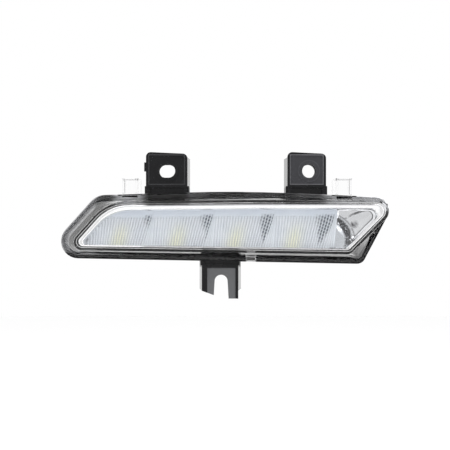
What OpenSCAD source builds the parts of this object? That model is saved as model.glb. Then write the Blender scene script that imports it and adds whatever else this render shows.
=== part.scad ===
// Daytime running light for a car bumper.
// A clear lofted lens and a black moulded housing hold a chromed frame, a fluted optic,
// a reflector with four cups, four LEDs on a board, and the driver parts behind them.
// X runs along the lamp, Z is up, and the lamp shines along -Y.
// The origin is the middle of the round locating hole, on the front face of its lug.

/* [Flange outline] */
// Length of the flange's lower edge, from corner to corner
flange_length = 206; // [196:1:212]
// Fall of the lower edge from left to right
lower_fall = 4; // [2:0.5:6]
// Height of the raked left end
left_height = 40; // [38:0.5:43]
// Run of the raked left end
left_rake = 36; // [33:0.5:39]
// Height of the raked right end
right_height = 42.5; // [40:0.5:45]
// Run of the raked right end
right_rake = 22.5; // [20:0.5:25]
// Rise of the upper edge above the line between its ends
top_rise = 3.5; // [2.5:0.5:5]
// Radius of the nose at the lower left
nose_r = 11; // [9:0.5:13]
// Radius of the upper left corner
shoulder_r = 13; // [10:0.5:15]
// Radius of the upper right corner
tip_r = 8.5; // [7.5:0.5:10]
// Radius of the lower right corner
heel_r = 5.5; // [4.5:0.5:7]

/* [Outer lens] */
// Wall of the clear lens
lens_wall = 2.2; // [1.8:0.1:2.6]
// Reach of the lens in front of the lugs
lens_reach = 17.5; // [16:0.5:20]
// Bulge of the front face
lens_crown = 1.4; // [0.8:0.1:2]
// Thickness of the lens flange
lens_flange_t = 2.7; // [2.2:0.1:3.2]
// Width of the welding rib under the flange
lens_rib_w = 2; // [1.6:0.1:2.2]
// Depth of the welding rib
lens_rib_depth = 2.4; // [2:0.1:2.8]

/* [Rear housing] */
// Wall of the housing
housing_wall = 2.4; // [2:0.1:2.8]
// Depth of the housing behind the lugs' front face
housing_depth = 30; // [28:0.5:34]
// Width of the lip round the lens flange
lip_w = 0.7; // [0.6:0.05:0.8]
// Width of the channel that takes the lens rib
channel_w = 2.6; // [2.4:0.1:3]
// Depth of the channel under the seat
channel_depth = 3.8; // [3.4:0.1:4.2]
// Wall between the channel and the inside
channel_wall = 1.8; // [1.5:0.1:2.2]
// Height of the stiffening ribs on the back
rib_height = 2; // [1:0.5:3]

/* [Lugs] */
// Spacing of the two upper holes
hole_spacing = 91; // [88:1:94]
// Radius of the round locating hole
hole_r = 4.4; // [4:0.1:4.8]
// Length of the collars round the two upper holes
collar_length = 10; // [8:0.5:12]
// Length of the slotted hole
slot_length = 10.6; // [9.6:0.1:11.6]
// Thickness of the lug plates
lug_plate = 3; // [2.4:0.1:3.6]
// Depth of the lugs' side flanges
lug_depth = 20; // [16:0.5:24]
// Thickness of the lugs' side flanges
lug_flange = 2.4; // [2:0.1:2.8]
// Outward draft of the side flanges over their depth
lug_draft = 1; // [0.5:0.1:1.4]
// Radius of the lugs' upper corners
lug_corner_r = 3; // [2:0.5:4]

/* [Fork] */
// Place of the fork's slot, measured left from the locating hole
fork_offset = 56.3; // [52:0.5:60]
// Width of the fork's slot
fork_slot_w = 8.3; // [7.5:0.1:9]
// Outward draft of the fork's side flanges
fork_draft = 2; // [1:0.1:2.4]
// Reach of the longer prong below the locating hole
fork_reach = 81.7; // [79:0.5:84]

/* [Frame, optic and reflector] */
// Depth of the chromed frame from its lip to the optic
frame_depth = 5.8; // [5:0.2:6.6]
// Wall of the chromed frame
frame_wall = 0.8; // [0.7:0.05:1]
// Thickness of the optic at its border
optic_t = 1.8; // [1.5:0.1:2.1]
// Height of the flutes on the optic
flute_height = 0.6; // [0.4:0.1:0.8]
// Flutes in each cell of the optic
flutes_per_cell = 20; // [16:1:24]
// Extra run of the last flute in each cell, from foot to top
flute_rake = 8; // [5:0.5:10]
// Plain band along the upper edge of the optic
plain_band = 2.6; // [2:0.1:3.2]
// Wall of the reflector
reflector_wall = 1.5; // [1.2:0.1:1.8]
// Focal length of the reflector cups
cup_focus = 14; // [13:0.5:16]

/* [Electronics] */
// How much closer together the LEDs stand than the cells
led_gather = 1.6; // [1:0.2:2.4]
// Thickness of the circuit board
board_t = 1.6; // [1.2:0.1:1.8]
// Width of an LED package
led_w = 5; // [4:0.1:5.6]
// Height of an LED package
led_h = 1.2; // [0.9:0.1:1.4]
// Thickness of the thermal pad
pad_t = 0.4; // [0.3:0.1:0.8]
// Thickness of the heat spreader's plate
spreader_t = 1.5; // [1.2:0.1:2]
// Depth of the heat spreader's fins
fin_depth = 8; // [6:0.5:9.5]
// Radius of the screws that hold the board
screw_r = 1.3; // [1.1:0.1:1.5]

/* [Rear socket and vent] */
// Length of the socket behind the housing
socket_length = 16; // [14:0.5:19]
// Width of the socket's opening
socket_w = 14.4; // [13:0.2:16]
// Height of the socket's opening
socket_h = 10.4; // [9.4:0.2:12]
// Width of a terminal blade
blade_w = 2.8; // [2:0.1:3.2]
// Outer radius of the vent cap
vent_cap_r = 7; // [6.2:0.1:8]

/* [Hidden] */
$fn = 48;
// Clearance of a piece that drops into another
clear = 0.2;
// Overlap of a cut past the face that it opens
past = 1;

// Corners of the flange, anticlockwise from the nose
nose = [-172, -55.5];
heel = nose + [flange_length, -lower_fall];
tip = heel + [right_rake, right_height];
shoulder = nose + [left_rake, left_height];
apex_share = 0.46;
apex = shoulder + (tip - shoulder) * apex_share + [0, top_rise];
flange_corners = [nose, heel, tip, apex, shoulder];
flange_radii = [nose_r, heel_r, tip_r, 1000, shoulder_r];
// Corners of the window in front, each set in from the flange's corner
window_rise = 0.5;
window_nose = nose + [23.3, 7.9];
window_heel = heel + [-10.4, 9.3];
window_tip = tip + [-4.6, -4.6];
window_shoulder = shoulder + [9.7, -7];
window_apex = (window_shoulder + window_tip) / 2 + [0, window_rise];
window_corners = [window_nose, window_heel, window_tip, window_apex, window_shoulder];
window_radii = [2.6, 3, 4.4, 1000, 27];
// Straight steps along each corner's arc
arc_steps = [11, 6, 6, 4, 9];
// Distances from the window's edges to the frame's opening: lower, right, upper, upper, left
opening_inset = [1.4, 2.6, 4.3, 4.3, 3.6];

// Depths along Y, from front to back
seat_y = 2.2;
flange_front_y = seat_y - lens_flange_t;
rim_back_y = seat_y + channel_depth + 1.2;
back_inner_y = housing_depth - housing_wall;
lens_front_y = -lens_reach;
frame_gap = 0.8;
frame_setback = 3.2;
frame_front_y = lens_front_y + lens_wall + frame_setback;
optic_front_y = frame_front_y + frame_depth;
optic_back_y = optic_front_y + optic_t;
frame_back_y = seat_y - 0.3;
lens_mid_y = -7;
cup_apex_y = 9;
board_front_y = cup_apex_y + reflector_wall;
board_back_y = board_front_y + board_t;
spreader_front_y = board_back_y + pad_t;
spreader_back_y = spreader_front_y + spreader_t;

// Places measured inward from the flange outline
lens_edge = lip_w + clear;
channel_in = lip_w + 0.6;
channel_out = channel_in + channel_w;
rib_in = channel_in + (channel_w - lens_rib_w) / 2;
rib_out = rib_in + lens_rib_w;
cavity_in = channel_out + channel_wall;
wall_in = cavity_in - housing_wall;
wall_draft = 0.8;
// How far in from the flange's edge the lens's side starts: lower, right, upper right, upper left, left
lens_side_in = [2.4, 2, 2, 3.2, 1.6];
lens_inner_in = plus(lens_side_in, lens_wall);
fold = 0.3;
lens_out = frame_gap + lens_wall;

// The cells of the optic and reflector, and the LEDs behind them
cells = 4;
left_margin = 10.3;
right_margin = 8.4;
cell_left = window_nose[0] + left_margin;
cell_right = window_heel[0] - right_margin;
cell_pitch = (cell_right - cell_left) / cells;
divider_lean = 2;
led_pitch = cell_pitch - led_gather;
led_inset = 16.9;
led_x = [for (i = [0:cells - 1]) cell_left + led_inset + led_pitch * i];
led_rise = 7.8;
led_z = window_nose[1] + led_rise;
led_hole_r = 3.9;
led_hole_depth = 4.5;

// The board and what it carries
board_left = led_x[0] - 9;
board_right = cell_right + 1;
board_low = led_z - 5.7;
board_high = led_z + 15.3;
screw_x = [for (x = led_x) x + led_pitch / 2 + 0.6];
screw_z = board_high - 4;
boss_r = 3.2;
driver_half = 12.4;
driver_x = (led_x[2] + led_x[3]) / 2;
driver_left = driver_x - driver_half;
driver_right = driver_x + driver_half;
driver_high = screw_z - boss_r - 0.8;

// The socket and the vent
socket_x = driver_x;
socket_z = led_z + 0.5;
socket_wall = 1.8;
socket_floor_y = housing_depth + 3;
socket_back_y = housing_depth + socket_length;
blade_t = 0.8;
blade_x = [socket_x - 3, socket_x + 3];
vent_x = led_x[1] - 12;
vent_z = led_z + 4;
vent_tube_r = 4.5;
vent_bore_r = 2.6;
vent_tube_length = 5;

// Outline geometry in the XZ plane
function unit(v) = v / norm(v);
function inward(a, b) = let (d = unit(b - a)) [-d[1], d[0]];
function item(list, i) = list[(i + len(list)) % len(list)];
function moved_corner(c, d, i) =
    let (n1 = inward(item(c, i - 1), c[i]), n2 = inward(c[i], item(c, i + 1)),
        d1 = item(d, i - 1), d2 = d[i], k = n1 * n2, s = 1 - k * k)
    c[i] + n1 * (d1 - k * d2) / s + n2 * (d2 - k * d1) / s;
function moved(c, d) = [for (i = [0:len(c) - 1]) moved_corner(c, d, i)];
function corner_arc(c, r, i, steps) =
    let (n1 = inward(item(c, i - 1), c[i]), n2 = inward(c[i], item(c, i + 1)),
        centre = c[i] + (n1 + n2) * r / (1 + n1 * n2),
        first = atan2(-n1[1], -n1[0]), turn = acos(n1 * n2))
    [for (s = [0:steps]) centre + r * [cos(first + turn * s / steps), sin(first + turn * s / steps)]];
function rounded(c, r, steps) = [for (i = [0:len(c) - 1]) each corner_arc(c, r[i], i, steps[i])];
function even(d, n) = [for (i = [1:n]) d];
function plus(list, d) = [for (x = list) x + d];
// An outline between the flange (share 0) and the window (share 1), moved inward
function outline(share, inset) =
    let (d = is_list(inset) ? inset : even(inset, 5),
        c = flange_corners * (1 - share) + window_corners * share,
        r = flange_radii * (1 - share) + window_radii * share,
        least = min(d))
    rounded(moved(c, d), [for (x = r) max(x - least, 0.4)], arc_steps);
function ring(share, inset, y) = [for (p = outline(share, inset)) [p[0], y, p[1]]];
// Height of the flange's upper and lower edges at x
function upper_z(x) = x < apex[0]
    ? lookup(x, [shoulder, apex])
    : lookup(x, [apex, tip]);
function lower_z(x) = lookup(x, [nose, heel]);

// A solid through a list of rings, with a cap on each end or joined end to end
module skin(rings, joined = false) {
    n = len(rings[0]);
    m = len(rings);
    sides = [for (i = [0:m - (joined ? 1 : 2)], j = [0:n - 1])
        let (a = i * n + j, b = i * n + (j + 1) % n,
            k = (i + 1) % m, c = k * n + (j + 1) % n, d = k * n + j)
        each [[a, b, c], [a, c, d]]];
    caps = joined ? [] : [[for (j = [0:n - 1]) n - 1 - j], [for (j = [0:n - 1]) (m - 1) * n + j]];
    polyhedron(points = [for (r = rings) each r], faces = concat(sides, caps), convexity = 6);
}

// Extrudes a drawing in the XZ plane from y0 back to y1
module slab(y0, y1) {
    translate([0, y1, 0]) rotate([90, 0, 0]) linear_extrude(y1 - y0) children();
}

// A round bar along Y
module bar(x, z, r, y0, y1) {
    translate([x, y0, z]) rotate([-90, 0, 0]) cylinder(h = y1 - y0, r = r);
}

// A box between two corners
module box(low, high) {
    translate(low) cube(high - low);
}

// The housing's outside before it is hollowed
module housing_outside() {
    skin([
        ring(0, 0.4, flange_front_y),
        ring(0, 0, flange_front_y + 0.4),
        ring(0, 0, rim_back_y),
        ring(0, wall_in, rim_back_y + 0.8),
        ring(0, wall_in + wall_draft, housing_depth - 1.2),
        ring(0, wall_in + wall_draft + 1.2, housing_depth)
    ]);
}

// What is cut from the front of the housing: lens recess, then the inside
module housing_inside() {
    skin([
        ring(0, lip_w, flange_front_y - past),
        ring(0, lip_w, seat_y),
        ring(0, cavity_in, seat_y),
        ring(0, cavity_in + wall_draft, back_inner_y)
    ]);
}

// The channel that takes the lens rib and its sealing bead
module lens_channel() {
    skin([
        ring(0, channel_in, seat_y - past / 2),
        ring(0, channel_in, seat_y + channel_depth),
        ring(0, channel_out, seat_y + channel_depth),
        ring(0, channel_out, seat_y - past / 2)
    ], joined = true);
}

// One upper lug: a stepped plate on two drafted side flanges
lug_top = 12.2;
lug_fall = 1.2;
lug_foot = -10.2;
field_depth = 0.6;
border_w = 1.8;
riser_y = 2.6;
module lug(left, right) {
    corners = [[left, lug_foot], [right, lug_foot], [right, lug_top - lug_fall], [left, lug_top]];
    radii = [0.6, 0.6, lug_corner_r, lug_corner_r];
    root_z = min(upper_z(left), upper_z(right)) - wall_in - 2;
    slab(field_depth, lug_plate) polygon(rounded(corners, radii, [2, 2, 6, 6]));
    slab(0, lug_plate) difference() {
        polygon(rounded(corners, radii, [2, 2, 6, 6]));
        polygon(rounded(moved(corners, even(border_w, 4)), [0.6, 0.6, 1.4, 1.4], [2, 2, 4, 4]));
    }
    lug_flanges(left, right, lug_draft, root_z, lug_top - lug_corner_r - 0.4);
    box([left - lug_draft, riser_y, root_z], [right + lug_draft, riser_y + 3, lug_foot + 0.6]);
    box([left + 0.4, 0.8, lug_foot - 0.6], [right - 0.4, riser_y + 1, lug_foot + 2]);
}

// Two side flanges that widen towards the back
module lug_flanges(left, right, draft, z0, z1) {
    back_y = lug_depth;
    translate([0, 0, z0]) linear_extrude(z1 - z0) {
        polygon([[left, 0.8], [left + lug_flange, 0.8],
            [left + lug_flange - draft, back_y], [left - draft, back_y]]);
        polygon([[right - lug_flange, 0.8], [right, 0.8],
            [right + draft, back_y], [right - lug_flange + draft, back_y]]);
    }
}

// The locating lug on the right, with the collar round its hole
right_lug = [-13.8, 10.9];
left_lug = [-13.4, 13.1] - [hole_spacing, hole_spacing];
collar_wall = 2.2;
slot_r = 4.3;
module locating_lug() {
    lug(right_lug[0], right_lug[1]);
    bar(0, 0, hole_r + collar_wall, 0, collar_length);
}

// The lug on the left with the slotted hole, and a small nub on its outer side
module slotted_lug() {
    lug(left_lug[0], left_lug[1]);
    slot_shape(slot_r + collar_wall, 0, collar_length);
    box([left_lug[0] - 1.3, 2, -0.2], [left_lug[0] + 1, 8, 5.6]);
}

module slot_shape(r, y0, y1) {
    run = slot_length / 2 - slot_r;
    for (side = [-1, 1]) bar(-hole_spacing + side * run, 0, r, y0, y1);
    box([-hole_spacing - run, y0, -r], [-hole_spacing + run, y1, r]);
}

// The lower fork: a plate with an open slot, two prongs of unlike length and a raised border on each side
fork_x = -fork_offset;
fork_left = fork_x - 12.3;
fork_right = fork_x + 11;
fork_arch_z = -70.6;
prong_step = 5;
fork_slope = 3;
fork_flare = 0.7;
fork_border = [3.2, 1.6];
module fork() {
    foot_z = max(lower_z(fork_left), lower_z(fork_right)) + wall_in + 2;
    slab(0, lug_plate) difference() {
        fork_outline();
        fork_slot();
    }
    slab(-field_depth, lug_plate / 2) difference() {
        fork_outline();
        translate([fork_left + fork_border[0], -fork_reach - past])
            square([fork_right - fork_left - fork_border[0] - fork_border[1], fork_reach]);
    }
    lug_flanges(fork_left, fork_right, fork_draft, -fork_reach + prong_step, foot_z);
    box([fork_left - lug_draft, 1.4, lower_z(fork_right) - 2.6],
        [fork_right + lug_draft, riser_y + 3, foot_z]);
}

module fork_outline() {
    top_z = lower_z(fork_x) - 2;
    polygon([[fork_left, top_z], [fork_left, -fork_reach + prong_step],
        [fork_x - fork_slot_w / 2, -fork_reach + prong_step - fork_slope],
        [fork_x, -fork_reach + prong_step - fork_slope],
        [fork_x, -fork_reach], [fork_right, -fork_reach], [fork_right, top_z]]);
}

module fork_slot() {
    translate([fork_x, fork_arch_z]) circle(r = fork_slot_w / 2);
    polygon([[fork_x - fork_slot_w / 2, fork_arch_z], [fork_x + fork_slot_w / 2, fork_arch_z],
        [fork_x + fork_slot_w / 2 + fork_flare, -fork_reach - past],
        [fork_x - fork_slot_w / 2 - fork_flare, -fork_reach - past]]);
}

// Notches in the lip for the two clear tabs of the lens
tab_inset = [21.4, 34.1];
tab_x = [shoulder[0] + tab_inset[0], tip[0] - tab_inset[1]];
tab_w = 10.2;
tab_top = -4.6;
tab_depth = 18;
tab_wall = 1.8;
tab_roof_t = 1.2;
tab_roof_depth = 9;
notch_spare = 2.8;
nub_from_fork = 19.1;
nub_x = fork_x + nub_from_fork;
nub_w = 6.4;
module lip_notches() {
    box([nub_x - nub_w / 2 - clear, flange_front_y - past, lower_z(nub_x) - 2],
        [nub_x + nub_w / 2 + clear, seat_y, lower_z(nub_x) + 3]);
    for (x = tab_x)
        box([x - tab_w / 2 - notch_spare, flange_front_y - past, upper_z(x) - 4],
            [x + tab_w / 2 + notch_spare, seat_y, upper_z(x) + 2]);
}

// The socket on the back, with a ramp for the plug's latch
module socket_outside() {
    w = socket_w / 2 + socket_wall;
    h = socket_h / 2 + socket_wall;
    box([socket_x - w, back_inner_y, socket_z - h], [socket_x + w, socket_back_y, socket_z + h]);
    translate([socket_x - 2.5, 0, 0]) rotate([90, 0, 90]) linear_extrude(5)
        polygon([[socket_back_y - 9, socket_z + h - 0.1], [socket_back_y - 5, socket_z + h - 0.1],
            [socket_back_y - 5, socket_z + h + 1.5]]);
}

module socket_inside() {
    box([socket_x - socket_w / 2, socket_floor_y, socket_z - socket_h / 2],
        [socket_x + socket_w / 2, socket_back_y + past, socket_z + socket_h / 2]);
    for (x = blade_x) blade_box(x, back_inner_y - past, socket_floor_y + past);
}

// Ribs across the back wall and one along it
module back_ribs() {
    y0 = housing_depth - 0.4;
    y1 = housing_depth + rib_height;
    for (x = [led_x[0] - 4, led_x[0] + 10, led_x[1] + 8, led_x[2] + 2])
        box([x - 0.8, y0, lower_z(x) + wall_in + 4], [x + 0.8, y1, upper_z(x) - wall_in - 4]);
    box([led_x[0] - 4, y0, vent_z - 12], [led_x[2] + 2, y1, vent_z - 10.4]);
}

// Bosses inside the housing for the board's screws
module bosses() {
    for (x = screw_x) bar(x, screw_z, boss_r, spreader_back_y, back_inner_y + 0.4);
}

// Posts inside the housing that carry the chromed frame's skirt
post_w = 3;
post_low_x = [for (share = [0.21, 0.43, 0.65, 0.87]) nose[0] + flange_length * share];
post_high_x = [for (share = [0.29, 0.53, 0.78, 1]) nose[0] + flange_length * share];
module frame_posts() {
    y1 = back_inner_y + 0.4;
    for (x = post_low_x) {
        z = lookup(x, [window_nose, window_heel]);
        foot = lower_z(x) + wall_in + wall_draft + 0.6;
        box([x - post_w / 2, seat_y, foot], [x + post_w / 2, y1, z + frame_wall - 0.1]);
    }
    for (x = post_high_x) {
        z = lookup(x, [window_shoulder, window_apex, window_tip]);
        foot = upper_z(x) - wall_in - wall_draft - 0.6;
        box([x - post_w / 2, seat_y, z - frame_wall + 0.1], [x + post_w / 2, y1, foot]);
    }
}

module rear_housing() color([0.06, 0.06, 0.065]) {
    difference() {
        union() {
            difference() {
                union() {
                    housing_outside();
                    locating_lug();
                    slotted_lug();
                    fork();
                }
                housing_inside();
                lens_channel();
                lip_notches();
            }
            bosses();
            frame_posts();
            socket_outside();
            back_ribs();
            bar(vent_x, vent_z, vent_tube_r, housing_depth - 0.4, housing_depth + vent_tube_length);
        }
        bar(0, 0, hole_r, -past, collar_length + past);
        slot_shape(slot_r, -past, collar_length + past);
        socket_inside();
        bar(vent_x, vent_z, vent_bore_r, back_inner_y - past, housing_depth + vent_tube_length + past);
        for (x = screw_x) bar(x, screw_z, screw_r, spreader_back_y - past, back_inner_y - 1);
    }
}

// The clear lens: front face, lofted sides, flange and welding rib
module lens_shell() {
    skin([
        ring(1, 9.5, lens_front_y),
        ring(1, 4.5, lens_front_y + 0.35 * lens_crown),
        ring(1, 0.5, lens_front_y + lens_crown),
        ring(1, 1.2 - lens_out, lens_front_y + lens_crown + 0.5),
        ring(1, 0.4 - lens_out, lens_front_y + lens_crown + 1.2),
        ring(1, -lens_out, lens_front_y + lens_crown + 2.2),
        ring(0.5, plus(lens_side_in, -lens_out) / 2, lens_mid_y),
        ring(0, lens_side_in, flange_front_y - 0.6),
        ring(0, plus(lens_side_in, -fold), flange_front_y),
        ring(0, lens_edge + fold, flange_front_y),
        ring(0, lens_edge, flange_front_y + fold),
        ring(0, lens_edge, seat_y),
        ring(0, rib_in, seat_y),
        ring(0, rib_in, seat_y + lens_rib_depth),
        ring(0, rib_out, seat_y + lens_rib_depth),
        ring(0, rib_out, seat_y),
        ring(0, lens_inner_in, seat_y),
        ring(0, lens_inner_in, flange_front_y),
        ring(0.5, plus(lens_inner_in, -frame_gap) / 2, lens_mid_y),
        ring(1, -frame_gap, lens_front_y + lens_crown + 2.4),
        ring(1, 1.6 - frame_gap, lens_front_y + lens_crown + lens_wall),
        ring(1, 4.5, lens_front_y + 0.35 * lens_crown + lens_wall),
        ring(1, 9.5, lens_front_y + lens_wall)
    ]);
}

// A clear tab: a plate with two side walls and a short roof, open at the back
module clear_tab(x) {
    foot_z = upper_z(x) - lens_edge - 1.4;
    wall_foot_z = upper_z(x) + 0.5;
    left = x - tab_w / 2;
    right = x + tab_w / 2;
    slab(flange_front_y, flange_front_y + tab_wall)
        polygon([[left, foot_z], [right, foot_z], [right, tab_top], [left, tab_top]]);
    translate([0, 0, wall_foot_z]) linear_extrude(tab_top - wall_foot_z) {
        polygon([[left, flange_front_y + 0.2], [left + tab_wall, flange_front_y + 0.2],
            [left + tab_wall - 0.8, tab_depth], [left - 0.8, tab_depth]]);
        polygon([[right - tab_wall, flange_front_y + 0.2], [right, flange_front_y + 0.2],
            [right + 0.8, tab_depth], [right - tab_wall + 0.8, tab_depth]]);
    }
    box([left, flange_front_y + 0.2, tab_top - tab_roof_t], [right, tab_roof_depth, tab_top]);
}

// A small gate nub on the lower edge of the flange
module gate_nub() {
    z = lower_z(nub_x);
    box([nub_x - nub_w / 2, flange_front_y - 0.7, z + 0.3], [nub_x + nub_w / 2, seat_y - 0.4, z + 3.6]);
}

module outer_lens() color([0.9, 0.93, 0.95, 0.35]) {
    lens_shell();
    gate_nub();
    for (x = tab_x) clear_tab(x);
}

module lens_seal() color([0.1, 0.1, 0.11]) skin([
    ring(0, channel_in, seat_y + lens_rib_depth),
    ring(0, channel_in, seat_y + channel_depth),
    ring(0, channel_out, seat_y + channel_depth),
    ring(0, channel_out, seat_y + lens_rib_depth)
], joined = true);

// The chromed frame: a rounded lip, an outer skirt, a groove and a rounded band down to the optic.
// The groove is widest at the left and fades to a line along the other edges.
groove_in = [0.8, 0.8, 0.8, 0.8, 0.9];
groove_out = [0.96, 1.4, 0.98, 1, 1.8];
groove_side = [0.02, 0.1, 0.02, 0.02, 0.1];
groove_depth = 0.9;
band_start = 0.3;
band_foot = opening(-0.4);
band_fall = frame_depth - 0.6 - band_start;
function band_ring(t) = ring(1, groove_out + (band_foot - groove_out) * t,
    frame_front_y + band_start + band_fall * (1 - sqrt(1 - t * t)));
function opening(extra) = [for (d = opening_inset) max(d + extra, frame_wall + clear)];
module frame() color([0.85, 0.86, 0.88]) skin([
    ring(1, 0.5, frame_front_y),
    ring(1, 0.1, frame_front_y + 0.3),
    ring(1, 0, frame_front_y + 0.9),
    ring(1, 0, frame_back_y),
    ring(1, frame_wall, frame_back_y),
    ring(1, frame_wall, optic_front_y),
    ring(1, opening(0), optic_front_y),
    for (t = [1, 0.85, 0.65, 0.35, 0]) band_ring(t),
    ring(1, groove_out - groove_side, frame_front_y + groove_depth),
    ring(1, groove_in + groove_side, frame_front_y + groove_depth),
    ring(1, groove_in, frame_front_y + 0.15)
], joined = true);

// The band of cell i, from one leaning divider to the next, less a margin on each side
cell_spare = [4, 3];
cell_low = window_heel[1] - cell_spare[0];
cell_high = window_tip[1] - cell_spare[1];
function divider(i, z) = cell_left + cell_pitch * i
    + divider_lean * (z - cell_low) / (cell_high - cell_low);
module cell_band(i, margin) {
    polygon([[divider(i, cell_low) + margin, cell_low], [divider(i + 1, cell_low) - margin, cell_low],
        [divider(i + 1, cell_high) - margin, cell_high], [divider(i, cell_high) + margin, cell_high]]);
}

// Everything left of the optic's leaning right end, or right of it
module beside_end(gap, side) {
    far = 90 * side;
    polygon([[divider(cells, cell_low) + gap, cell_low], [divider(cells, cell_high) + gap, cell_high],
        [divider(cells, cell_high) + far, cell_high], [divider(cells, cell_low) + far, cell_low]]);
}

// The fluted optic: a plate with ridges that rake more and more to the right in each cell
module optic() color([0.82, 0.86, 0.9, 0.6]) {
    union() {
        slab(optic_front_y, optic_back_y) optic_outline();
        intersection() {
            slab(optic_front_y - 2, optic_front_y + 1) intersection() {
                polygon(outline(1, opening(0.5) + [0, 0, plain_band, plain_band, 0]));
                beside_end(-0.6, -1.9);
            }
            for (i = [0:cells - 1]) flute_sheet(i);
        }
    }
}

module optic_outline() {
    intersection() {
        polygon(outline(1, opening(-0.6)));
        beside_end(0, -1.9);
    }
}

// The ridges of one cell: a zigzag sheet whose ridges stay close at the foot and open out at the top
module flute_sheet(i) {
    base_y = optic_front_y + 0.5;
    foot_run = cell_pitch - flute_rake;
    skin([for (k = [0:2 * flutes_per_cell])
        let (share = k / (2 * flutes_per_cell),
            low = divider(i, cell_low) + 0.2 + foot_run * share,
            high = divider(i, cell_high) + 0.2 + (cell_pitch - 0.8) * share,
            y = optic_front_y - (k % 2 == 1 ? flute_height : -0.1))
        [[low, y, cell_low], [high, y, cell_high], [high, base_y, cell_high], [low, base_y, cell_low]]]);
}

// The reflector: a border, four cups cut from paraboloids, and a dished right end
module paraboloid(i, apex_y) {
    steps = 9;
    most = 2 * sqrt(cup_focus * (cup_apex_y - optic_back_y + reflector_wall + past));
    curve = [for (k = [0:steps]) let (r = most * k / steps) [r, r * r / (4 * cup_focus)]];
    translate([led_x[i], apex_y, led_z]) rotate([90, 0, 0]) rotate_extrude($fn = 64)
        polygon(concat(curve, [[0, curve[steps][1]]]));
}

module cup(i, margin, inset, y0, apex_y) {
    intersection() {
        slab(y0, board_front_y) intersection() {
            polygon(outline(1, opening(inset)));
            cell_band(i, margin);
        }
        paraboloid(i, apex_y);
    }
}

module reflector() color([0.8, 0.81, 0.84]) {
    half = reflector_wall / 2;
    difference() {
        union() {
            slab(optic_back_y, optic_back_y + reflector_wall) polygon(outline(1, opening(-0.6)));
            for (i = [0:cells - 1]) cup(i, -half, 1.2 - reflector_wall, optic_back_y + 0.2, board_front_y);
            end_block();
        }
        for (i = [0:cells - 1]) cup(i, half, 1.2, optic_back_y - past, cup_apex_y);
        for (i = [0:cells - 1])
            bar(led_x[i], led_z, led_hole_r, board_front_y - led_hole_depth, board_front_y + past);
    }
}

// The end block: a thick plate in the raked corner with a deep dish and a shallow one
end_block_t = 6;
dish_place = [cell_right + 15, window_tip[1] - 8.4];
dish_r = 26;
dish_depth = 4.6;
shallow_dish_place = [cell_right + 24, window_tip[1] - 4];
shallow_dish_r = 22;
shallow_dish_depth = 3.2;
module end_block() {
    difference() {
        slab(optic_front_y + clear, optic_back_y + end_block_t) intersection() {
            polygon(outline(1, opening(-0.6)));
            beside_end(clear, 1);
        }
        dish(dish_place, dish_r, dish_depth);
        dish(shallow_dish_place, shallow_dish_r, shallow_dish_depth);
    }
}

// A ball sunk into the front of the end block
module dish(place, r, depth) {
    translate([place[0], optic_front_y + clear - r + depth, place[1]]) sphere(r = r, $fn = 96);
}

// The board, with holes for its screws
module led_board() color([0.93, 0.93, 0.9]) {
    difference() {
        box([board_left, board_front_y, board_low], [board_right, board_back_y, board_high]);
        for (x = screw_x) bar(x, screw_z, screw_r + clear, board_front_y - past, board_back_y + past);
    }
}

module led(i) color([0.95, 0.85, 0.35]) {
    base_h = led_h * 0.6;
    translate([led_x[i] - led_w / 2, board_front_y - base_h, led_z - led_w / 2])
        cube([led_w, base_h, led_w]);
    bar(led_x[i], led_z, led_w * 0.4, board_front_y - led_h, board_front_y - base_h / 2);
}

// The outline shared by the pad and the spreader, open below where the driver parts sit
module spreader_outline() {
    difference() {
        translate([board_left, board_low]) square([board_right - board_left, board_high - board_low]);
        translate([driver_left, board_low - past])
            square([driver_right - driver_left, driver_high - board_low + past]);
        for (x = screw_x) translate([x, screw_z]) circle(r = screw_r + clear);
    }
}

module thermal_pad() color([0.55, 0.6, 0.68]) slab(board_back_y, spreader_front_y) spreader_outline();

module heat_spreader() color([0.7, 0.71, 0.73]) {
    fin_t = 1.2;
    fin_pitch = 5.4;
    fins = floor((board_right - board_left - 4) / fin_pitch);
    slab(spreader_front_y, spreader_back_y) spreader_outline();
    for (k = [0:fins]) {
        x = board_left + 2 + fin_pitch * k;
        if (x < driver_left - 2 || x > driver_right + 1)
            box([x, spreader_back_y - 0.3, board_low + 1],
                [x + fin_t, spreader_back_y + fin_depth, driver_high]);
    }
}

// A pan-head screw with a cross recess, driven from the front of the board
module board_screw(i) color([0.75, 0.75, 0.72]) {
    head_r = screw_r * 2;
    head_h = screw_r * 1.2;
    difference() {
        union() {
            bar(screw_x[i], screw_z, head_r, board_front_y - head_h, board_front_y);
            bar(screw_x[i], screw_z, screw_r - 0.1, board_front_y - 0.2, back_inner_y - 3);
        }
        for (turn = [0, 90]) translate([screw_x[i], board_front_y - head_h - past, screw_z])
            rotate([0, turn, 0]) translate([-head_r * 0.55, 0, -0.25]) cube([head_r * 1.1, past + 0.8, 0.5]);
    }
}

// Parts of the driver on the back of the board, each given by its place, size and height
module board_part(x, z, w, h, t) {
    box([socket_x + x - w / 2, board_back_y, socket_z + z - h / 2],
        [socket_x + x + w / 2, board_back_y + t, socket_z + z + h / 2]);
}

module driver_chip() color([0.1, 0.1, 0.1]) {
    board_part(8.7, 0, 3.9, 4.9, 1.5);
    for (k = [-1.5:1.5]) board_part(8.7, k * 1.27, 5.8, 0.42, 0.4);
}

module power_inductor() color([0.3, 0.3, 0.32]) {
    board_part(-8.4, -0.5, 6, 6, 2.4);
    bar(socket_x - 8.4, socket_z - 0.5, 2.6, board_back_y + 1, board_back_y + 3.4);
}

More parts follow.
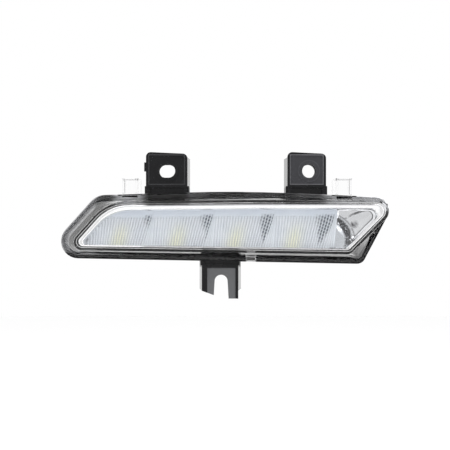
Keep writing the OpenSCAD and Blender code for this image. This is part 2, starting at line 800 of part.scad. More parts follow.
module input_capacitor() color([0.7, 0.6, 0.45]) board_part(0, -4, 3.2, 2, 1.8);
module output_capacitor() color([0.7, 0.6, 0.45]) board_part(0, 4, 3.2, 2, 1.8);
module protection_diode() color([0.12, 0.12, 0.12]) board_part(-8, 4.4, 4.3, 2.4, 2.1);
sense_z = 4.4;
module sense_resistor(z) color([0.08, 0.08, 0.1]) board_part(8.4, z, 3.2, 1.6, 0.6);

// A terminal blade from the back of the board, through the wall, into the socket
module terminal(x) color([0.8, 0.72, 0.45]) {
    blade_box(x, board_back_y, socket_back_y - 6);
}

module blade_box(x, y0, y1) {
    box([x - blade_w / 2, y0, socket_z - blade_t / 2], [x + blade_w / 2, y1, socket_z + blade_t / 2]);
}

// The vent: a membrane on the end of the tube, and a cap with four air notches
vent_end_y = housing_depth + vent_tube_length;
membrane_t = 0.3;
module vent_membrane() color([0.9, 0.9, 0.88])
    bar(vent_x, vent_z, vent_tube_r - 0.3, vent_end_y, vent_end_y + membrane_t);

module vent_cap() color([0.12, 0.12, 0.12]) {
    skirt_y = housing_depth + 0.6;
    floor_y = vent_end_y + membrane_t + 0.3;
    end_y = floor_y + 1.6;
    difference() {
        bar(vent_x, vent_z, vent_cap_r, skirt_y, end_y);
        bar(vent_x, vent_z, vent_tube_r + 0.3, skirt_y - past, floor_y);
        for (turn = [0, 90]) translate([vent_x, 0, vent_z]) rotate([0, turn, 0])
            box([-vent_cap_r - past, skirt_y - past, -1], [vent_cap_r + past, skirt_y + 1.6, 1]);
    }
}

rear_housing();
outer_lens();
lens_seal();
frame();
optic();
reflector();
led_board();
led(0);  // led_1
led(1);  // led_2
led(2);  // led_3
led(3);  // led_4
thermal_pad();
heat_spreader();
board_screw(0);  // board_screw_1
board_screw(1);  // board_screw_2
board_screw(2);  // board_screw_3
board_screw(3);  // board_screw_4
driver_chip();
power_inductor();
input_capacitor();
output_capacitor();
protection_diode();
sense_resistor(-sense_z);  // sense_resistor_1
sense_resistor(sense_z);  // sense_resistor_2
terminal(blade_x[0]);  // terminal_1
terminal(blade_x[1]);  // terminal_2
vent_membrane();
vent_cap();
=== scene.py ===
# %% [markdown]
# # A slim daytime running light
# A clear lens with a wide flange closes a black moulded housing. Behind the lens a bright
# metallised frame holds a milky, finely fluted optic. Two lugs and a fork fasten the lamp.
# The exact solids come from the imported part, and this script dresses them. Lengths in the
# helpers are millimetres, as on a maker's drawing, and become metres when a mesh is made.

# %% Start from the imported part
import math

import bpy
import numpy as np
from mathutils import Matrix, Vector


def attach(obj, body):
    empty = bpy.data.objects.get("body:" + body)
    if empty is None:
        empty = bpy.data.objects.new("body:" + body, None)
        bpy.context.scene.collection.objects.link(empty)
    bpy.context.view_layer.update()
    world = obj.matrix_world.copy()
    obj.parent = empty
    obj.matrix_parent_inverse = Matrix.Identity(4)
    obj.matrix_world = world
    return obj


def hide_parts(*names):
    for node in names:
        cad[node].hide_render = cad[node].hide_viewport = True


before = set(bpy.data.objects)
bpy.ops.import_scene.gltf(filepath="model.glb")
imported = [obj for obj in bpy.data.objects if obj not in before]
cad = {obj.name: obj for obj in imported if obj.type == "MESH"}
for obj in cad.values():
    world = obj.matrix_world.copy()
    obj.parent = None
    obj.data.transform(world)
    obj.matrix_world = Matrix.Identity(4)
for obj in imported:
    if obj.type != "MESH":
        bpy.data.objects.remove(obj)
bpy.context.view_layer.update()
print("pieces loaded:", len(cad))

# %% [markdown]
# ## The family of outlines
# The flange, the lens sides, the frame and the optic all follow one five-cornered outline
# that shrinks from the flange to the window in front. It could be drawn by hand at each
# depth. Instead each outline is worked out from five corners, their radii and an inset for
# each side, so that every surface between two outlines runs smoothly.

# %% Corners of the flange and of the window, as on the drawing
NOSE = np.array([-172.0, -55.5])
HEEL = NOSE + [206.0, -4.0]
TIP = HEEL + [22.5, 42.5]
SHOULDER = NOSE + [36.0, 40.0]
APEX = SHOULDER + (TIP - SHOULDER) * 0.46 + [0, 3.5]
FLANGE = np.array([NOSE, HEEL, TIP, APEX, SHOULDER])
FLANGE_RADII = np.array([11.0, 5.5, 8.5, 1000.0, 13.0])
W_NOSE, W_HEEL = NOSE + [23.3, 7.9], HEEL + [-10.4, 9.3]
W_TIP, W_SHOULDER = TIP + [-4.6, -4.6], SHOULDER + [9.7, -7.0]
W_APEX = (W_SHOULDER + W_TIP) / 2 + [0, 0.5]
WINDOW = np.array([W_NOSE, W_HEEL, W_TIP, W_APEX, W_SHOULDER])
WINDOW_RADII = np.array([2.6, 3.0, 4.4, 1000.0, 27.0])
ARC_STEPS = [20, 12, 14, 6, 20]
EDGE_STEPS = [40, 10, 20, 18, 12]
print("length of the flange:", float(TIP[0] - NOSE[0]), "mm")

# %% [markdown]
# An outline is the five corners moved inward, with an arc at each corner and a straight run
# between two arcs. All outlines have the same number of points, so any two can be joined.

# %% Outlines from corners
def inward(a, b):
    """The direction into the outline, at right angles to the edge from a to b."""
    d = (b - a) / np.linalg.norm(b - a)
    return np.array([-d[1], d[0]])


def moved(corners, inset):
    """Five corners after each edge has moved inward by its own inset."""
    out = []
    for i in range(5):
        n1 = inward(corners[i - 1], corners[i])
        n2 = inward(corners[i], corners[(i + 1) % 5])
        d1, d2, k = inset[i - 1], inset[i], float(n1 @ n2)
        out.append(corners[i] + (n1 * (d1 - k * d2) + n2 * (d2 - k * d1)) / (1 - k * k))
    return np.array(out)


def outline(share, inset):
    """Points round an outline; share 0 is the flange and share 1 the window."""
    inset = np.full(5, inset) if np.isscalar(inset) else np.asarray(inset, float)
    corners = moved(FLANGE * (1 - share) + WINDOW * share, inset)
    radii = np.maximum(FLANGE_RADII * (1 - share) + WINDOW_RADII * share - inset.min(), 0.4)
    arcs = []
    for i in range(5):
        n1 = inward(corners[i - 1], corners[i])
        n2 = inward(corners[i], corners[(i + 1) % 5])
        centre = corners[i] + (n1 + n2) * radii[i] / (1 + n1 @ n2)
        first, turn = math.atan2(-n1[1], -n1[0]), math.acos(min(1.0, n1 @ n2))
        angles = first + turn * np.linspace(0, 1, ARC_STEPS[i] + 1)
        arcs.append(centre + radii[i] * np.stack([np.cos(angles), np.sin(angles)], 1))
    points = []
    for i in range(5):
        points.append(arcs[i])
        start, end = arcs[i][-1], arcs[(i + 1) % 5][0]
        t = np.linspace(0, 1, EDGE_STEPS[i] + 1)[1:-1, None]
        points.append(start + (end - start) * t)
    return np.concatenate(points)


def ring(share, inset, y):
    """An outline at depth y."""
    flat = outline(share, inset)
    return np.stack([flat[:, 0], np.full(len(flat), y), flat[:, 1]], 1)


print("points in an outline:", len(outline(0, 0)))

# %% [markdown]
# ## Turning outlines into pieces
# A loft joins each outline to the next with quads. Moulded plastic has no knife edges, so a
# second helper rounds the fold at each outline with a short curve before the quads are made.

# %% Loft helpers
FOLD_SHARE, MM_PER_M = 0.45, 1000.0


def softened(rings, rounding, closed=False, steps=3):
    """Puts a short curve of outlines in place of each one that has a rounding."""
    count, out = len(rings), []
    for i, here in enumerate(rings):
        if rounding[i] == 0 or (not closed and i in (0, count - 1)):
            out.append(here)
            continue
        before, after = rings[i - 1], rings[(i + 1) % count]
        back, ahead = before - here, after - here
        lb = np.maximum(np.linalg.norm(back, axis=1, keepdims=True), 1e-9)
        la = np.maximum(np.linalg.norm(ahead, axis=1, keepdims=True), 1e-9)
        start = here + back * np.minimum(FOLD_SHARE, rounding[i] / lb)
        end = here + ahead * np.minimum(FOLD_SHARE, rounding[i] / la)
        for t in np.linspace(0, 1, steps + 1):
            out.append(start * (1 - t) ** 2 + here * 2 * t * (1 - t) + end * t * t)
    return out


def loft(rings, closed=False):
    """Joins each outline to the next with quads, and caps both ends unless it is closed."""
    n, m = len(rings[0]), len(rings)
    faces = []
    for i in range(m if closed else m - 1):
        k = (i + 1) % m
        for j in range(n):
            q = (j + 1) % n
            faces.append((i * n + j, k * n + j, k * n + q, i * n + q))
    if not closed:
        faces.append(tuple(range(n)))
        faces.append(tuple((m - 1) * n + j for j in reversed(range(n))))
    return np.concatenate(rings), faces


def make_piece(name, points, faces, slot, sharp):
    """A smooth piece from points in millimetres; folds over the angle sharp stay crisp."""
    mesh = bpy.data.meshes.new(name)
    mesh.from_pydata([tuple(p) for p in np.asarray(points) / MM_PER_M], [], faces)
    mesh.validate()
    mesh.shade_smooth()
    mesh.set_sharp_from_angle(angle=math.radians(sharp))
    piece = bpy.data.objects.new(name, mesh)
    bpy.context.scene.collection.objects.link(piece)
    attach(piece, "root")
    print(name, "faces:", len(faces))
    return piece


print("loft helpers ready")

# %% [markdown]
# A small box is worked out from its corners, with every edge broken by a short slope, since
# a moulded tab has no knife edges either. Several boxes can be joined into one piece.

# %% Small boxes with broken edges
CORNERS = [(x, y, z) for x in (0, 1) for y in (0, 1) for z in (0, 1)]
ROUND_A_SIDE = ((0, 0), (1, 0), (1, 1), (0, 1))


def turned(axis, side, u, v):
    """The corner at side along an axis, and at u and v along the next two axes."""
    place = [side, u, v]
    return tuple(place[-axis:] + place[:-axis])


def cuboid(low, high, r):
    """A box with its edges broken by r, as points and faces."""
    low, high = np.asarray(low, float), np.asarray(high, float)
    points, faces, index = [], [], {}
    for corner in CORNERS:
        place, away = np.where(corner, high, low), np.where(corner, -1, 1) * r
        for axis in range(3):
            p = place + away
            p[axis] = place[axis]
            index[(*corner, axis)] = len(points)
            points.append(p)
    for axis in range(3):
        a, b = (axis + 1) % 3, (axis + 2) % 3
        for side in (0, 1):
            quad = [index[(*turned(axis, side, u, v), axis)] for u, v in ROUND_A_SIDE]
            faces.append(tuple(quad if side else reversed(quad)))
        for u, v in ((0, 0), (0, 1), (1, 0), (1, 1)):
            near, far = turned(axis, 0, u, v), turned(axis, 1, u, v)
            quad = (index[(*near, a)], index[(*far, a)], index[(*far, b)], index[(*near, b)])
            faces.append(quad if u == v else tuple(reversed(quad)))
    for corner in CORNERS:
        tri = tuple(index[(*corner, axis)] for axis in range(3))
        faces.append(tri if sum(corner) % 2 else tuple(reversed(tri)))
    return np.array(points), faces


def joined(parts):
    """Several sets of points and faces as one."""
    points, faces, start = [], [], 0
    for p, f in parts:
        points.append(p)
        faces += [tuple(i + start for i in face) for face in f]
        start += len(p)
    return np.concatenate(points), faces


print("faces of a box with broken edges:", len(cuboid([0, 0, 0], [1, 1, 1], 0.1)[1]))

# %% [markdown]
# ## The clear lens
# The lens is one clear moulding: a faintly crowned front, sides that widen back to the
# flange, and a welding rib that drops into the housing's channel. A box with a bevel could
# stand in for it, but its look comes from the folds, where the light bends. So each fold is
# an outline of its own, listed from the front round the flange and back on the inside.

# %% Loft the lens
LENS_FRONT, WALL, GAP, CROWN = -17.5, 2.2, 0.8, 1.4
SIDE_IN = np.array([2.4, 2, 2, 3.2, 1.6])
OUT = WALL + GAP
SEAT, FLANGE_FRONT, RIB_DEPTH = 2.2, -0.5, 2.4
RIB_IN, RIB_OUT, LENS_EDGE = 1.6, 3.6, 0.9
lens_rings = [
    ring(1, 9.5, LENS_FRONT), ring(1, 4.5, LENS_FRONT + 0.35 * CROWN),
    ring(1, 0.5, LENS_FRONT + CROWN), ring(1, 0.4 - OUT, LENS_FRONT + CROWN + 1.0),
    ring(1, -OUT, LENS_FRONT + CROWN + 2.2), ring(0.5, (SIDE_IN - OUT) / 2, -7),
    ring(0, SIDE_IN, FLANGE_FRONT), ring(0, LENS_EDGE, FLANGE_FRONT), ring(0, LENS_EDGE, SEAT),
    ring(0, RIB_IN, SEAT), ring(0, RIB_IN, SEAT + RIB_DEPTH), ring(0, RIB_OUT, SEAT + RIB_DEPTH),
    ring(0, RIB_OUT, SEAT), ring(0, SIDE_IN + WALL, SEAT), ring(0, SIDE_IN + WALL, FLANGE_FRONT),
    ring(0.5, (SIDE_IN + WALL - GAP) / 2, -7), ring(1, -GAP, LENS_FRONT + CROWN + 2.4),
    ring(1, 1.6 - GAP, LENS_FRONT + CROWN + WALL), ring(1, 4.5, LENS_FRONT + 0.35 * CROWN + WALL),
    ring(1, 9.5, LENS_FRONT + WALL),
]
lens_rounding = [0, 1.5, 1.2, 0.8, 1.0, 3, 0.5, 0.35, 0.2, 0, 0.2, 0.2, 0, 0.2, 0.6, 3, 0.8, 0.8, 1.5, 0]
lens_points, lens_faces = loft(softened(lens_rings, lens_rounding))
print("folds of the lens:", len(lens_rings))

# %% [markdown]
# Two clear tabs stand on the upper edge, each a thin plate with two walls and a short roof
# behind it, and a small nub lies on the lower edge, where the plastic flowed into the mould.
# They are one moulding with the lens, but small boxes are simpler than a loft with branches.

# %% Tabs and nub of the lens
def upper_z(x):
    """The flange's upper edge at x."""
    return float(np.interp(x, [SHOULDER[0], APEX[0], TIP[0]], [SHOULDER[1], APEX[1], TIP[1]]))


def lower_z(x):
    """The flange's lower edge at x."""
    return float(np.interp(x, [NOSE[0], HEEL[0]], [NOSE[1], HEEL[1]]))


TAB_X, TAB_HALF, TAB_TOP, TAB_DEPTH, TAB_WALL, TAB_DRAFT = (-114.6, 22.4), 5.1, -4.6, 18, 1.8, 0.8
ROOF_T, ROOF_DEPTH = 1.2, 9


def clear_tab(x):
    """The boxes of the tab about x."""
    left, right = x - TAB_HALF, x + TAB_HALF
    foot = upper_z(x) + 0.5
    plate = cuboid(
        [left, FLANGE_FRONT, upper_z(x) - LENS_EDGE - 1.4], [right, FLANGE_FRONT + TAB_WALL, TAB_TOP], 0.25)
    walls = []
    for side, edge in ((-1, left), (1, right)):
        inner = edge - side * TAB_WALL
        points, faces = cuboid(
            [min(edge, inner), FLANGE_FRONT + 1.6, foot], [max(edge, inner), TAB_DEPTH, TAB_TOP], 0.2)
        points[:, 0] += side * TAB_DRAFT * np.clip((points[:, 1] - FLANGE_FRONT) / TAB_DEPTH, 0, 1)
        walls.append((points, faces))
    roof = cuboid([left, FLANGE_FRONT + 0.2, TAB_TOP - ROOF_T], [right, ROOF_DEPTH, TAB_TOP], 0.2)
    return [plate, *walls, roof]


NUB_X, NUB_HALF = -37.2, 3.2
nub = cuboid(
    [NUB_X - NUB_HALF, FLANGE_FRONT - 0.7, lower_z(NUB_X) + 0.3],
    [NUB_X + NUB_HALF, SEAT - 0.4, lower_z(NUB_X) + 3.6], 0.4,
)
lens = make_piece("clear_lens", lens_points, lens_faces, "lens_clear", sharp=60)
tab_boxes = [box for x in TAB_X for box in clear_tab(x)]
tabs = make_piece("clear_tabs", *joined(tab_boxes + [nub]), "lens_clear", sharp=30)
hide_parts("outer_lens")

# %% [markdown]
# ## The metallised frame
# The frame is a plastic rim with a bright metal coat: a thin lip, an outer skirt, and a
# rounded band that falls to the optic. A fine groove, widest at the left, parts the lip from
# the band. Cut from a block it would show facets, and a mirror-bright surface shows every
# facet. So it is a closed loft too, and the band is a quarter round in ten steps.

# %% Loft the frame
FRAME_FRONT = LENS_FRONT + WALL + 3.2
OPTIC_FRONT = FRAME_FRONT + 5.8
FRAME_WALL, CLEAR = 0.8, 0.2
OPENING = np.array([1.4, 2.6, 4.3, 4.3, 3.6])
GROOVE_IN = np.array([0.8, 0.8, 0.8, 0.8, 0.9])
GROOVE_OUT = np.array([0.96, 1.4, 0.98, 1.0, 1.8])
GROOVE_SIDE = np.array([0.02, 0.1, 0.02, 0.02, 0.1])


def opening(extra):
    """The inset of each side of the frame's opening."""
    return np.maximum(OPENING + extra, FRAME_WALL + CLEAR)


def band_ring(t):
    """An outline of the rounded band: t is 0 at the groove and 1 at the optic."""
    fall = OPTIC_FRONT - 0.6 - FRAME_FRONT - 0.3
    inset = GROOVE_OUT + (opening(-0.4) - GROOVE_OUT) * t
    return ring(1, inset, FRAME_FRONT + 0.3 + fall * (1 - math.sqrt(1 - t * t)))


frame_rings = [
    ring(1, 0.45, FRAME_FRONT), ring(1, 0, FRAME_FRONT + 0.8), ring(1, 0, SEAT - 0.3),
    ring(1, FRAME_WALL, SEAT - 0.3), ring(1, FRAME_WALL, OPTIC_FRONT), ring(1, opening(0), OPTIC_FRONT),
    *(band_ring(math.sin(math.radians(angle))) for angle in range(90, -1, -9)),
    ring(1, GROOVE_OUT - GROOVE_SIDE, FRAME_FRONT + 0.9),
    ring(1, GROOVE_IN + GROOVE_SIDE, FRAME_FRONT + 0.9),
    ring(1, GROOVE_IN, FRAME_FRONT + 0.1),
]
LIP_ROUND, SKIRT_ROUND = 0.3, 0.5
frame_rounding = [LIP_ROUND, SKIRT_ROUND] + [0] * (len(frame_rings) - 3) + [LIP_ROUND]
frame_soft = softened(frame_rings, frame_rounding, True, 4)
bright = make_piece("bright_frame", *loft(frame_soft, True), "frame_chrome", sharp=50)
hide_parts("frame")

# %% [markdown]
# ## The fluted optic
# The optic is a plate with rounded flutes in four cells. In each cell the flutes stand close
# at the foot and rake to the right at the top, and a plain strip parts it from the next one.
# A bump in the finish could fake them, but would look flat from the side. So one sheet of
# quads follows the flutes, and each column of its points runs along one line of a flute.

# %% The optic's cells
CELLS, FLUTES, FLUTE_H, RAKE, TOP_STRIP, BAND = 4, 20, 0.6, 8.0, 0.8, 2.6
CELL_LEFT, CELL_RIGHT = W_NOSE[0] + 10.3, W_HEEL[0] - 8.4
PITCH = (CELL_RIGHT - CELL_LEFT) / CELLS
CELL_LOW, CELL_HIGH = W_HEEL[1] - 4, W_TIP[1] - 3
LEAN = 2.0
LED_X = [CELL_LEFT + 16.9 + (PITCH - 1.6) * i for i in range(CELLS)]
LED_Z = W_NOSE[1] + 7.8
STEPS, PLAIN, ROWS, GRID, NOSE_FLUTES = 6, 24, 72, 1.28, 13
# Reach down and strength of the painted dark streaks of shade in each cell, from its right end to the left
SHADE_STREAKS = [
    [(0.5, 0.8), (0.6, 0.85), (0.66, 0.6)],
    [(0.12, 0.98), (0.45, 0.98), (0.5, 0.9), (0.6, 0.55), (0.7, 0.35)],
    [(0.3, 0.98), (0.1, 0.98), (0.25, 0.95), (0.45, 0.8), (0.6, 0.5)],
    [(0.45, 0.9), (0.3, 0.95), (0.12, 1.0), (0.1, 0.95), (0.3, 0.85), (0.55, 0.6), (0.66, 0.35)],
]
print("a cell is", round(float(PITCH), 2), "mm wide and has", FLUTES, "flutes")

# %% [markdown]
# A line is known by its foot, its top, its share of the way across the cell and its place
# between two valleys. Lines that leave the frame's opening are cut off at its edge.

# %% Lines of the optic
def divider(i, z):
    """The leaning border between two cells, at height z."""
    return CELL_LEFT + PITCH * i + LEAN * (z - CELL_LOW) / (CELL_HIGH - CELL_LOW)


def clip_line(a, b, poly):
    """The shares of the line from a to b at which it enters and leaves an outline."""
    t0, t1 = 0.0, 1.0
    for i in range(len(poly)):
        p, q = poly[i], poly[(i + 1) % len(poly)]
        if np.allclose(p, q):
            continue
        n = inward(p, q)
        da, db = float(n @ (a - p)), float(n @ (b - p))
        if da < 0 and db < 0:
            return None
        if da < 0:
            t0 = max(t0, da / (da - db))
        elif db < 0:
            t1 = min(t1, da / (da - db))
    return (t0, t1) if t1 - t0 > 1e-4 else None


def lines_of_cell(i):
    """Foot, top, share, phase and cell of each line; in the plain strip the share is over 1."""
    foot, top = divider(i, CELL_LOW) + 0.2, divider(i, CELL_HIGH) + 0.2
    out = []
    for k in range(-NOSE_FLUTES * STEPS if i == 0 else 0, FLUTES * STEPS + 1):
        share = k / (FLUTES * STEPS)
        rake = RAKE if k >= 0 else RAKE * 0.4
        here = foot + (PITCH - rake) * share, top + (PITCH - TOP_STRIP) * share
        out.append((*here, share, k % STEPS / STEPS))
    for k in range(1, PLAIN + (i == CELLS - 1)):
        t = k / PLAIN
        here = foot + PITCH - RAKE + RAKE * t, top + PITCH - TOP_STRIP + TOP_STRIP * t
        out.append((*here, 1 + t, k % STEPS / STEPS))
    return [(*line, i) for line in out]


print("lines across the optic:", sum(len(lines_of_cell(i)) for i in range(CELLS)))

# %% [markdown]
# The optic's colour is worked out point by point, because it follows the flutes exactly,
# which no picture laid over it would. The valleys between flutes get painted shade, a fine
# grid crosses them, the upper edge is in painted shade, and the plain strips are a little
# darker with one pale line. Each LED's yellow light, seen through the milky plastic, is
# painted on the flutes before it.

# %% Values of the tint
MILKY, BACK_TINT = [0.79, 0.825, 0.87], [0.7, 0.74, 0.78, 1.0]
TOP_SHADE, TOP_SHADE_TINT, VALLEY_SHADE, GRID_SHADE = 0.16, [1, 0.85, 0.6], 0.14, 0.13
# Painted light: the yellow glow of each LED seen through the milky plastic
GLOW_WIDTH, GLOW_LEAN, GLOW_SHIFT, GLOW_TINT = 5.2, 0.25, 1.6, [-0.09, -0.05, 0.23]
# Painted shade: dark streaks where the shaded side of each cup shows through
SHADE_STREAK_TINT, DASH = [0.88, 0.86, 0.82], 1.6
STRIP_SHADE, STRIP_FLUTE, PALE_LINE, PALE_FROM, PALE_TO = 0.95, 0.45, 1.14, 1.72, 1.88
BORDER_SHADE, BORDER_FROM = 0.93, 1.9
SPOT, SPOT_SIZE, SPOT_SHADE = (-141.2, -43.2), 1.3, 0.85


def smooth(value, low, high):
    """0 at low and 1 at high, with a soft course between them."""
    t = np.clip((value - low) / (high - low), 0, 1)
    return t * t * (3 - 2 * t)


print("milky tint:", MILKY)

# %% [markdown]
# The painted glow of an LED, its yellow light seen through the milky plastic, leans with the
# flutes and fades upward. The steep side of each cup behind the optic lies in shade, and it
# shows through at the cell's right end as painted dark streaks of shade, broken into dashes
# by the grid.

# %% Glow and streaks
def field_edges(x):
    """The upper and the lower edge of the optic at x."""
    upper = np.interp(x, [W_SHOULDER[0], W_APEX[0], W_TIP[0]], [W_SHOULDER[1], W_APEX[1], W_TIP[1]])
    lower = np.interp(x, [W_NOSE[0], W_HEEL[0]], [W_NOSE[1], W_HEEL[1]])
    return upper - OPENING[3], lower + OPENING[0]


def glow_at(x, z, height, ridge, cell):
    """How strongly the painted light of the cell's LED shows through at the points of a line."""
    from_led = x - LED_X[cell] - GLOW_SHIFT - GLOW_LEAN * (z - LED_Z)
    return np.exp(-((from_led / GLOW_WIDTH) ** 2)) * smooth(height, 0.86, 0.15) * (0.4 + 0.6 * ridge)


def shade_streak_at(z, height, share, cell):
    """How dark the painted streak of shade along a line is, which is 0 away from the cell's right end."""
    from_right = (1 - share) * FLUTES
    nearest = round(from_right)
    if share > 1 + 0.5 / FLUTES or nearest >= len(SHADE_STREAKS[cell]):
        return np.zeros(ROWS)
    low, power = SHADE_STREAKS[cell][nearest]
    line = smooth(abs(from_right - nearest), 0.5, 0.2) * 0.9 + 0.1
    streak = line * power * smooth(height, low - 0.1, low + 0.18) * smooth(height, 0.95, 0.86)
    return streak * (0.74 + 0.26 * np.sign(np.sin(2 * math.pi * (z / GRID / DASH - nearest / 3))))


print("streaks in the cells:", [len(cell) for cell in SHADE_STREAKS])

# %% [markdown]
# Now every line becomes a column of points and a column of colours. Each effect multiplies
# the colour that is there, as tinted light does.

# %% Shape and tint of every line
border = outline(1, opening(-0.4))
columns, tints = [], []
for foot, top, share, phase, cell in (line for i in range(CELLS) for line in lines_of_cell(i)):
    a, b = np.array([foot, CELL_LOW]), np.array([top, CELL_HIGH])
    cut = clip_line(a, b, border)
    if cut is None:
        continue
    flat = a + (b - a) * np.linspace(cut[0], cut[1], ROWS)[:, None]
    x, z = flat[:, 0], flat[:, 1]
    upper, lower = field_edges(x)
    height = (z - lower) / (upper - lower)
    fluted = smooth(upper - BAND - z, 0, 1.2) * (1 if share <= 1 else STRIP_FLUTE)
    ridge = (0.5 - 0.5 * math.cos(2 * math.pi * phase)) ** 0.7
    weave = 0.5 + 0.5 * np.cos(2 * math.pi * z / GRID)
    columns.append(np.stack([x, OPTIC_FRONT - FLUTE_H * ridge * fluted * (1 - 0.12 * weave), z], 1))
    tint = np.tile(MILKY, (ROWS, 1))
    tint *= 1 - (smooth(upper - z, 5.5, 0.5) * TOP_SHADE)[:, None] * TOP_SHADE_TINT
    tint *= 1 - (fluted * (1 - ridge) * VALLEY_SHADE * (1 + max(share, 0)))[:, None]
    tint *= 1 - (fluted * weave * GRID_SHADE)[:, None]
    tint *= 1 - glow_at(x, z, height, ridge, cell)[:, None] * GLOW_TINT
    tint *= 1 - shade_streak_at(z, height, share, cell)[:, None] * SHADE_STREAK_TINT
    if share > 1:
        tint *= STRIP_SHADE
        tint *= PALE_LINE if PALE_FROM < share < PALE_TO else 1
        tint *= BORDER_SHADE if share > BORDER_FROM else 1
    spot = np.exp(-(((x - SPOT[0]) ** 2 + (z - SPOT[1]) ** 2) / SPOT_SIZE))
    tint *= 1 - SPOT_SHADE * spot[:, None]
    tints.append(np.concatenate([np.clip(tint, 0, 1), np.ones((ROWS, 1))], 1))
count = len(columns)
sheet_faces = [
    (c * ROWS + r, (c + 1) * ROWS + r, (c + 1) * ROWS + r + 1, c * ROWS + r + 1)
    for c in range(count - 1) for r in range(ROWS - 1)
]
print("columns of the optic:", count)

# %% [markdown]
# The sheet is closed behind by a flat back and by walls along its border, so that the optic
# is a plate and not a skin.

# %% Close the optic
OPTIC_T = 1.8
front = np.concatenate(columns)
rim = [c * ROWS for c in range(count)] + [(count - 1) * ROWS + r for r in range(1, ROWS)]
rim += [c * ROWS + ROWS - 1 for c in range(count - 2, -1, -1)] + [r for r in range(ROWS - 2, 0, -1)]
back = front[rim].copy()
back[:, 1] = OPTIC_FRONT + OPTIC_T
base = len(front)
following = [(k + 1) % len(rim) for k in range(len(rim))]
walls = [(rim[k], base + k, base + n, rim[n]) for k, n in enumerate(following)]
back_face = [tuple(base + k for k in range(len(rim)))]
optic_faces = sheet_faces + walls + back_face
optic_points = np.concatenate([front, back])
optic = make_piece("fluted_optic", optic_points, optic_faces, "optic_milky", sharp=70)
colour = optic.data.color_attributes.new("tint", "FLOAT_COLOR", "POINT")
all_tints = np.concatenate([np.concatenate(tints), np.tile(BACK_TINT, (len(back), 1))])
colour.data.foreach_set("color", all_tints.astype(np.float32).ravel())
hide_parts("optic")

# %% [markdown]
# ## Softer edges on the exact solids
# The housing and the small parts are exact solids with crisp edges. A moulding's edges are
# rounded by a few tenths of a millimetre, and that thin highlight is what makes black
# plastic readable. Rounding them in the solid would make it heavy, so two modifiers do it
# for the picture only: a weld joins the split corners and a bevel rounds the folds.

# %% Round the edges of the solids
WELD_REACH, BEVEL_STEPS, BEVEL_FROM = 0.00001, 2, 35


def soften_edges(name, width):
    """Rounds the folds of an exact solid by a width in millimetres."""
    piece = cad[name]
    weld = piece.modifiers.new("weld", "WELD")
    weld.merge_threshold = WELD_REACH
    bevel = piece.modifiers.new("rounded edges", "BEVEL")
    bevel.width = width / MM_PER_M
    bevel.segments = BEVEL_STEPS
    bevel.limit_method = "ANGLE"
    bevel.angle_limit = math.radians(BEVEL_FROM)
    bevel.harden_normals = True


SMALL_PIECES = ("vent_cap", "terminal_1", "terminal_2", "heat_spreader")
soften_edges("rear_housing", 0.35)
for name in SMALL_PIECES:
    soften_edges(name, 0.15)
print("solids with rounded edges:", 1 + len(SMALL_PIECES))

# %% [markdown]
# ## Materials
# Every finish is a Principled shader fed by a small node tree. A painted picture could give
# the same look from one side, but nodes stay sharp at any size and cover every side of the
# piece. A few short helpers keep the trees readable: Blender's own name of a node is
# ShaderNode with the kind that is given to the first of them.

# %% Node helpers for values
def new_material(name):
    """A material, its node tree and its Principled shader."""
    material = bpy.data.materials.new(name)
    material.use_nodes = True
    tree = material.node_tree
    return material, tree, tree.nodes["Principled BSDF"]


def add(tree, kind):
    return tree.nodes.new("ShaderNode" + kind)


def fill(tree, node, given):
    """Gives sockets of a node, by name, a value or the output of another node."""
    for label, item in given.items():
        if isinstance(item, bpy.types.NodeSocket):
            tree.links.new(item, node.inputs[label])
        else:
            node.inputs[label].default_value = item


def calc(tree, operation, first, second=0.0):
    node = add(tree, "Math")
    node.operation = operation
    fill(tree, node, {0: first, 1: second})
    return node.outputs["Value"]


def product(tree, *masks):
    """Masks multiplied, so that it is 1 only where all of them are."""
    out = masks[0]
    for mask in masks[1:]:
        out = calc(tree, "MULTIPLY", out, mask)
    return out


def map_range(tree, value, low, high, to_low=0.0, to_high=1.0, soft=False):
    """Moves a value from one range to another and holds it there."""
    node = add(tree, "MapRange")
    node.interpolation_type = "SMOOTHSTEP" if soft else "LINEAR"
    ranges = {"From Min": low, "From Max": high, "To Min": to_low, "To Max": to_high}
    fill(tree, node, {"Value": value, **ranges})
    return node.outputs["Result"]


print("helpers for values ready")

# %% [markdown]
# Three more helpers mix two colours, make a cloudy pattern and turn a value into a colour.

# %% Node helpers for colours
DARK, WHITE = (0, 0, 0), (1, 1, 1)


def mixed(tree, share, first, second, blend="MIX"):
    node = add(tree, "Mix")
    node.data_type = "RGBA"
    node.blend_type = blend
    fill(tree, node, {"Factor": share, "A": first, "B": second})
    return node.outputs["Result"]


def noise(tree, scale, detail=3.0, vector=None):
    node = add(tree, "TexNoise")
    if vector is None:
        vector = add(tree, "TexCoord").outputs["Object"]
    fill(tree, node, {"Scale": scale, "Detail": detail, "Vector": vector})
    return node.outputs["Fac"]


def ramp(tree, source, stops):
    node = add(tree, "ValToRGB")
    while len(node.color_ramp.elements) < len(stops):
        node.color_ramp.elements.new(0.5)
    for element, (position, colour) in zip(node.color_ramp.elements, stops):
        element.position = position
        element.color = (*colour, 1.0)
    fill(tree, node, {"Fac": source})
    return node.outputs["Color"]


print("helpers for colours ready")

# %% [markdown]
# ### Node groups
# An effect that several finishes share is built once as a node group with named sockets.
# Each material places the group and gives it its own values, so a change to the group
# reaches all of them.

